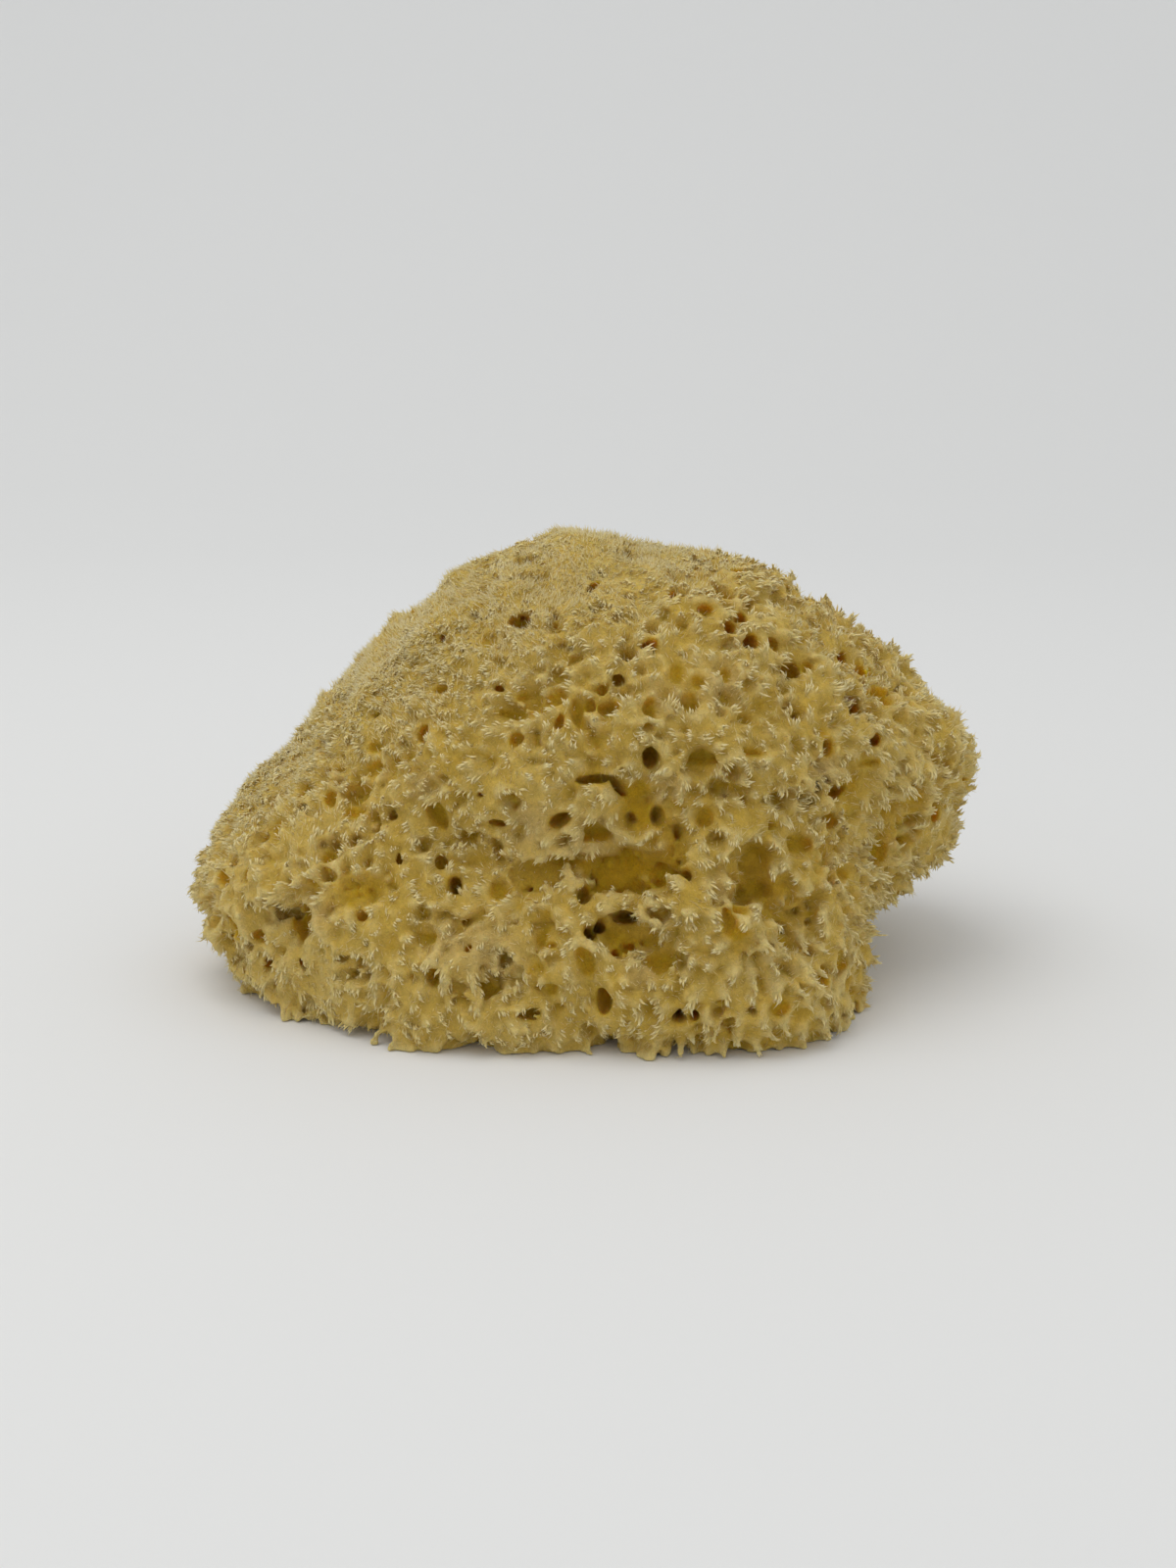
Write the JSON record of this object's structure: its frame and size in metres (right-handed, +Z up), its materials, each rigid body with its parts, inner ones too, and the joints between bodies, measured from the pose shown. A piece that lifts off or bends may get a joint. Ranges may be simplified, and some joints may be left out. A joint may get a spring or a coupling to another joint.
{
  "type": "sea sponge",
  "caption": "Natural sea sponge for bathing: a rounded, porous lump with tufted skin, round pores, a folded front, an overhanging lobe and a flat cut underside.",
  "frame": {"origin": "on the plane of the flat cut, under the middle of the sponge's whole outline", "axes": "+Z up from the cut, +X along the sponge's length towards the overhanging lobe, -Y the front with the folded hollows"},
  "size_m": [0.1504, 0.1046, 0.0836],
  "materials": {
    "sponge_fibre": "matte felted fibre, straw yellow, amber inside the pores, with cream tufts"
  },
  "bodies": {
    "root": {"sponge": "sponge_fibre"}
  },
  "joints": []
}
